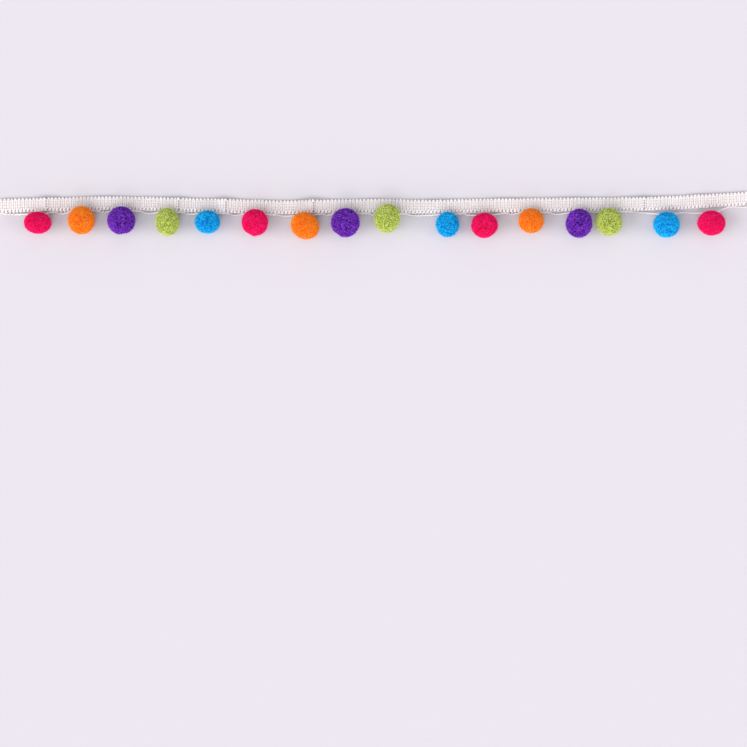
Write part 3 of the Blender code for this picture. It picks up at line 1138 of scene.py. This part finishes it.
class TRIM_OT_add_materials(Operator):
    """Make the yarn, thread and pile materials"""

    bl_idname = "trim.add_materials"
    bl_label = "Materials"

    def execute(self, context):
        cut_pile_group()
        spun_yarn_group()
        knit_ground_group()
        tape, thread = context.scene.trim_tape, context.scene.trim_thread
        yarn_material("spun_tape_yarn", tape.colour, tape.shade)
        ground_material("knit_tape_ground", tape.shaded_ground, tape.notch_shade)
        yarn_material("spun_tie_thread", thread.colour, tape.shade)
        pile = context.scene.trim_pile
        for name in sorted({pompom.colour for pompom in POMPOMS}):
            pile_material(name, getattr(pile, name), getattr(pile, f"{name}_root"))
        return {"FINISHED"}


class TRIM_OT_add_tape(Operator):
    """Make the tape: its thin ground, the weft with its edge loops, and the stitches along it"""

    bl_idname = "trim.add_tape"
    bl_label = "Knitted tape"

    def execute(self, context):
        settings = context.scene.trim_tape
        material = bpy.data.materials["spun_tape_yarn"]
        pitch, edge_thickness = settings.picot_pitch / MM, settings.edge_thickness / MM
        shaded_ground = place_piece(
            "tape_ground",
            mesh_from("tape_ground", ground_shape(pitch)),
            bpy.data.materials["knit_tape_ground"],
            ["tape"],
        )
        for name, courses, thickness, sides in (
            ("tape_weft", [weft_course(pitch)], settings.weft_thickness / MM, SIX_SIDED),
            ("tape_back_yarn", [back_course(pitch)], settings.back_thickness / MM, SIX_SIDED),
            ("tape_edge_yarn", edge_courses(pitch, edge_thickness), edge_thickness / 2, FOUR_SIDED),
            ("tape_stitches", stitch_courses(pitch), settings.stitch_thickness / MM, FOUR_SIDED),
        ):
            mesh = yarn_mesh(name, courses, thickness, sides)
            place_piece(name, mesh, material, ["tape"])
        return {"FINISHED"}


class TRIM_OT_add_pompoms(Operator):
    """Make each pompom's cut pile"""

    bl_idname = "trim.add_pompoms"
    bl_label = "Pompoms"

    def execute(self, context):
        settings = context.scene.trim_pile
        for number, pompom in enumerate(POMPOMS, start=1):
            name = f"pompom_pile_{number:02d}"
            mesh = mesh_from(name, pile_shape(number, pompom, settings))
            material = bpy.data.materials[f"{pompom.colour}_pile"]
            place_piece(name, mesh, material, [f"pompom_{number:02d}"])
        return {"FINISHED"}


class TRIM_OT_add_thread(Operator):
    """Make the two-ply thread that runs from pompom to pompom along the tape's edge"""

    bl_idname = "trim.add_thread"
    bl_label = "Tie thread"

    def execute(self, context):
        settings = context.scene.trim_thread
        thickness = settings.thickness / MM
        plies, whips, whole = [], [], []
        for number in range(len(THREAD_SWAGS)):
            path = smooth_path(swag_points(number))
            plies += wound_plies(path, thickness, settings.twist / MM, settings.steps)
            whole += path
        for stretch in WHIPPED_STRETCHES:
            whips.append(whip_course(whole, stretch))
        nodes = [f"thread_{number + 1:02d}" for number in range(len(THREAD_SWAGS))]
        material = bpy.data.materials["spun_tie_thread"]
        for name, courses, width in (
            ("tie_thread_plies", plies, thickness / 2 * PLY_SWELL),
            ("tie_thread_stitches", whips, settings.stitch_thickness / MM),
        ):
            mesh = yarn_mesh(name, courses, width, SIX_SIDED)
            place_piece(name, mesh, material, nodes)
        return {"FINISHED"}


def add_floor(context, colour):
    """The plain floor that the trim lies on."""
    shape = bmesh.new()
    bmesh.ops.create_grid(shape, x_segments=1, y_segments=1, size=FLOOR_REACH * MM)
    mesh = bpy.data.meshes.new("floor")
    shape.to_mesh(mesh)
    shape.free()
    material = bpy.data.materials.new("floor_paper")
    material.use_nodes = True
    shader = material.node_tree.nodes["Principled BSDF"]
    shader.inputs["Base Color"].default_value = (*colour, 1.0)
    shader.inputs["Roughness"].default_value = FLOOR_ROUGHNESS
    shader.inputs["Specular IOR Level"].default_value = FLOOR_GLOSS
    mesh.materials.append(material)
    floor = bpy.data.objects.new("floor", mesh)
    floor.location.z = -FLOOR_BELOW * MM
    context.collection.objects.link(floor)


def light_room(context):
    """The even light of a pale room, and the soft lamps that stand far off."""
    world = bpy.data.worlds.new("soft_room")
    world.use_nodes = True
    world.node_tree.nodes["Background"].inputs["Color"].default_value = ROOM_COLOUR
    world.node_tree.nodes["Background"].inputs["Strength"].default_value = ROOM_LIGHT
    context.scene.world = world
    for lamp in LAMPS:
        data = bpy.data.lights.new(lamp.name, "SUN")
        data.angle = math.radians(lamp.spread)
        data.energy = lamp.strength
        data.color = LAMP_COLOUR
        light = bpy.data.objects.new(lamp.name, data)
        light.rotation_euler = Vector(lamp.direction).to_track_quat("Z", "Y").to_euler()
        context.collection.objects.link(light)


def add_camera(context, settings):
    """A camera that looks straight down, with its view width met halfway up the pompoms."""
    lens = bpy.data.cameras.new("above")
    lens.sensor_width = SENSOR_WIDTH
    lens.lens = SENSOR_WIDTH * (settings.camera_height - VIEWED_HEIGHT * MM) / settings.view_width
    camera = bpy.data.objects.new("above", lens)
    camera.location = (0, settings.camera_across, settings.camera_height)
    context.collection.objects.link(camera)
    context.scene.camera = camera
    context.scene.view_settings.view_transform = "Standard"


class TRIM_OT_add_stage(Operator):
    """Make the plain floor, the soft light and the camera above"""

    bl_idname = "trim.add_stage"
    bl_label = "Stage"

    def execute(self, context):
        settings = context.scene.trim_stage
        add_floor(context, settings.floor_colour)
        light_room(context)
        add_camera(context, settings)
        return {"FINISHED"}


class TRIM_PT_panel(Panel):
    """The trim's pieces and their settings, in the sidebar"""

    bl_label = "Pompom Trim"
    bl_idname = "TRIM_PT_panel"
    bl_space_type = "VIEW_3D"
    bl_region_type = "UI"
    bl_category = "Trim"

    def draw(self, context):
        layout = self.layout
        for operator, settings in PANEL_ROWS:
            box = layout.box()
            box.operator(operator.bl_idname)
            if settings:
                group = getattr(context.scene, settings)
                for name in group.bl_rna.properties.keys():
                    if name not in ("rna_type", "name"):
                        box.prop(group, name)


PANEL_ROWS = (
    (TRIM_OT_add_materials, None),
    (TRIM_OT_add_tape, "trim_tape"),
    (TRIM_OT_add_pompoms, "trim_pile"),
    (TRIM_OT_add_thread, "trim_thread"),
    (TRIM_OT_add_stage, "trim_stage"),
)
SETTINGS = {
    "trim_tape": TapeSettings,
    "trim_pile": PileSettings,
    "trim_thread": ThreadSettings,
    "trim_stage": StageSettings,
}
CLASSES = (*SETTINGS.values(), *(operator for operator, _ in PANEL_ROWS), TRIM_PT_panel)


def register():
    for item in CLASSES:
        bpy.utils.register_class(item)
    for name, group in SETTINGS.items():
        setattr(bpy.types.Scene, name, PointerProperty(type=group))


def unregister():
    for name in SETTINGS:
        delattr(bpy.types.Scene, name)
    for item in reversed(CLASSES):
        bpy.utils.unregister_class(item)


def main():
    register()
    bpy.ops.trim.add_materials()
    bpy.ops.trim.add_tape()
    bpy.ops.trim.add_pompoms()
    bpy.ops.trim.add_thread()
    bpy.ops.trim.add_stage()


if __name__ == "__main__":
    main()
